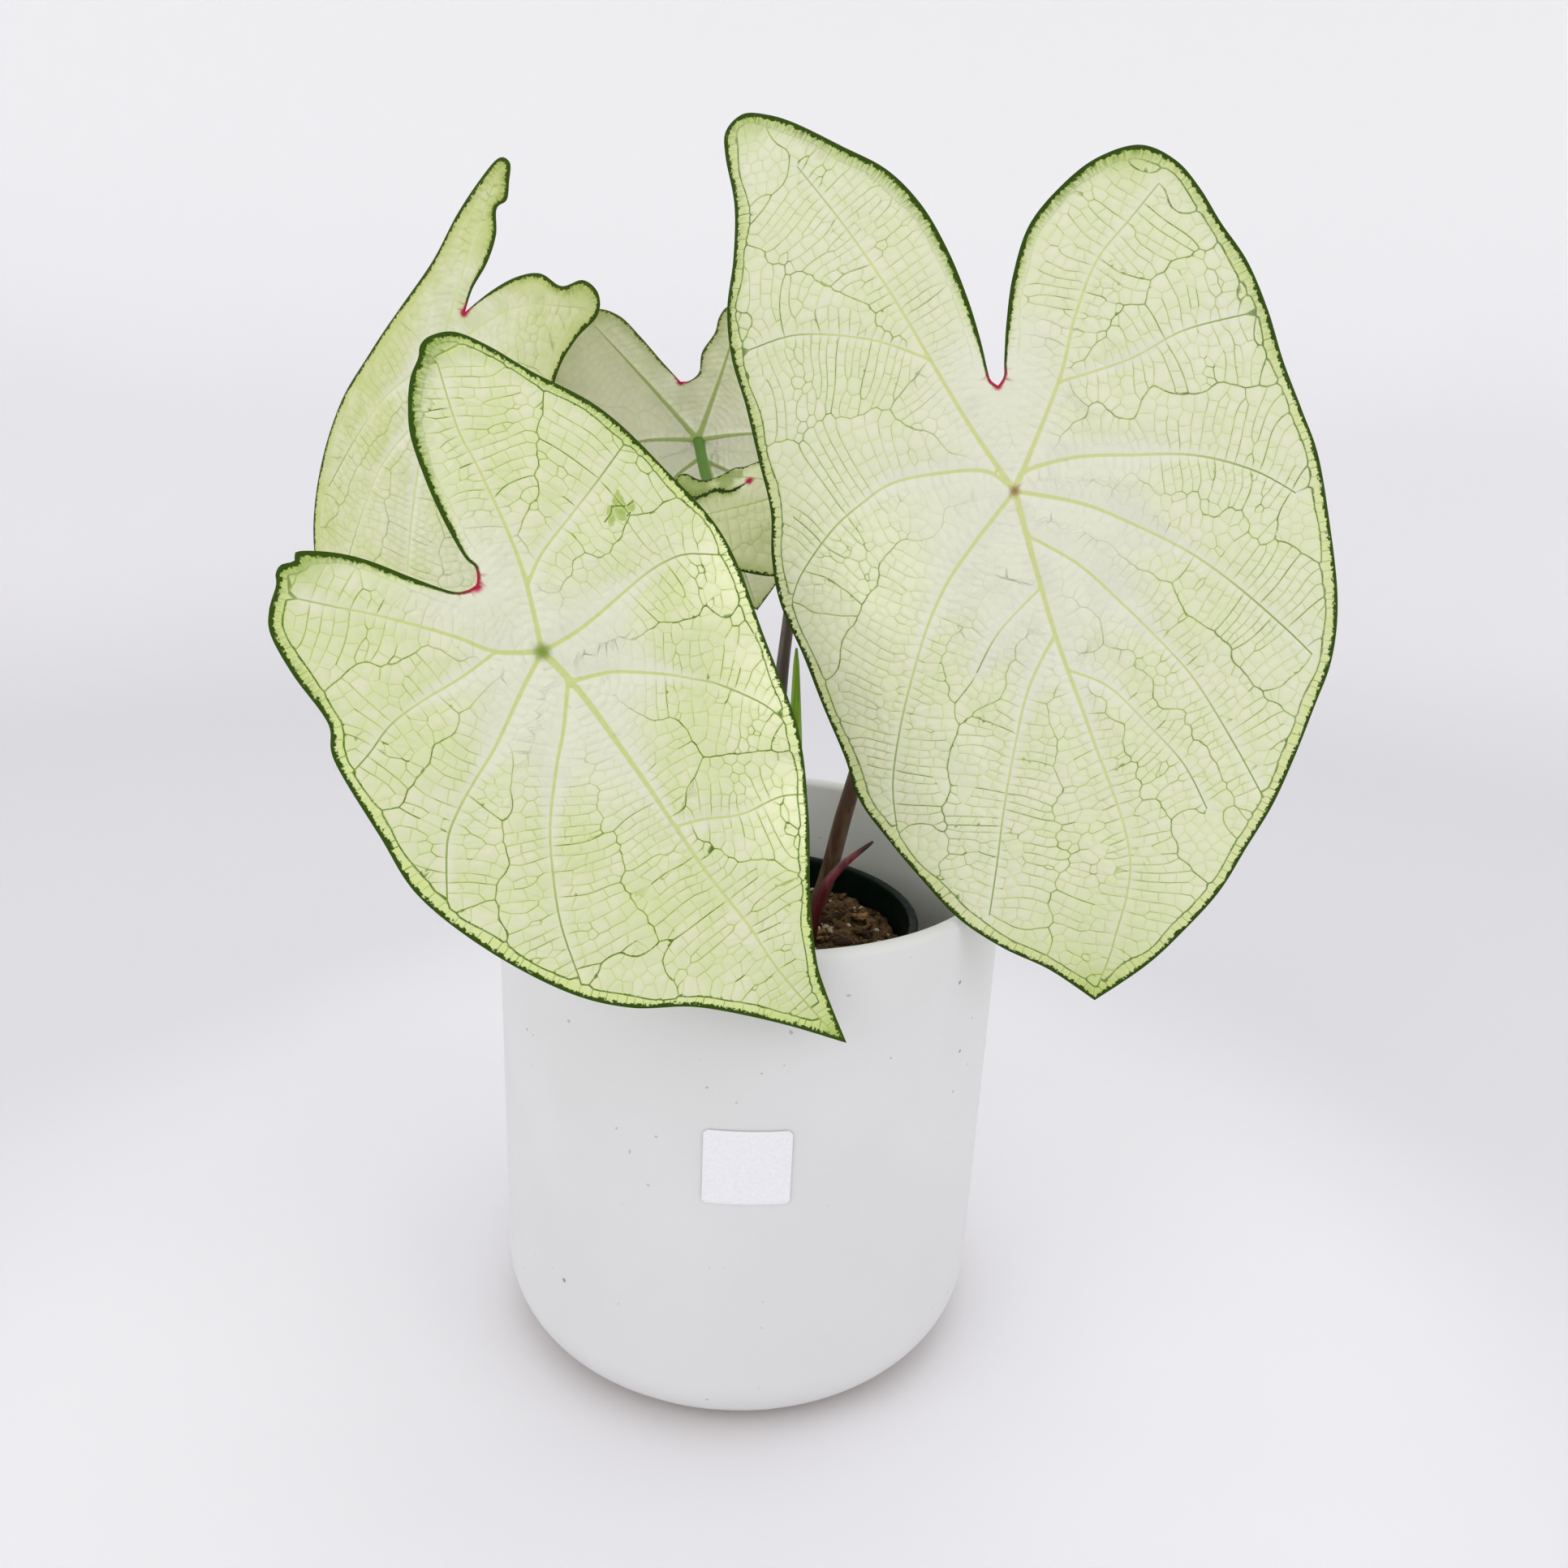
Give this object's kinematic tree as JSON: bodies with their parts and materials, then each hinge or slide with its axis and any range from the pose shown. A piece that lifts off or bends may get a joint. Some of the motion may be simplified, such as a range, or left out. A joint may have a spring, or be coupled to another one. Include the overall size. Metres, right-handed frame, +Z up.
{
  "type": "potted caladium plant",
  "caption": "Potted caladium: pale green net-veined arrowhead leaves on slender stalks, in a plastic nursery pot inside a plain white cylindrical ceramic pot.",
  "frame": {"origin": "middle of the ceramic pot's flat foot", "axes": "+Z up the pot, -Y towards the front, the side that the two large blades face, +X to the right as seen from the front"},
  "size_m": [0.2878, 0.2045, 0.3473],
  "materials": {
    "pot_ceramic": "matt white glaze",
    "label_paper": "matt",
    "nursery_plastic": "satin dark green",
    "potting_mix": "rough, damp",
    "tuber_skin": "rough",
    "leaf_blade": "satin, translucent, green veins",
    "stalk_brown": "satin, mottled",
    "stalk_green": "satin, mottled",
    "new_leaf": "satin",
    "shoot_crimson": "satin"
  },
  "bodies": {
    "root": {"outer_pot": "pot_ceramic", "label": "label_paper", "nursery_pot": "nursery_plastic", "soil": "potting_mix", "tuber": "tuber_skin", "new_leaf_spike": "new_leaf", "red_shoot": "shoot_crimson", "leaf_a_blade": "leaf_blade", "leaf_b_blade": "leaf_blade", "leaf_c_blade": "leaf_blade", "leaf_d_blade": "leaf_blade", "leaf_e_blade": "leaf_blade", "leaf_a_petiole": "stalk_brown", "leaf_b_petiole": "stalk_brown", "leaf_c_petiole": "stalk_brown", "leaf_d_petiole": "stalk_green", "leaf_e_petiole": "stalk_brown"}
  },
  "joints": []
}
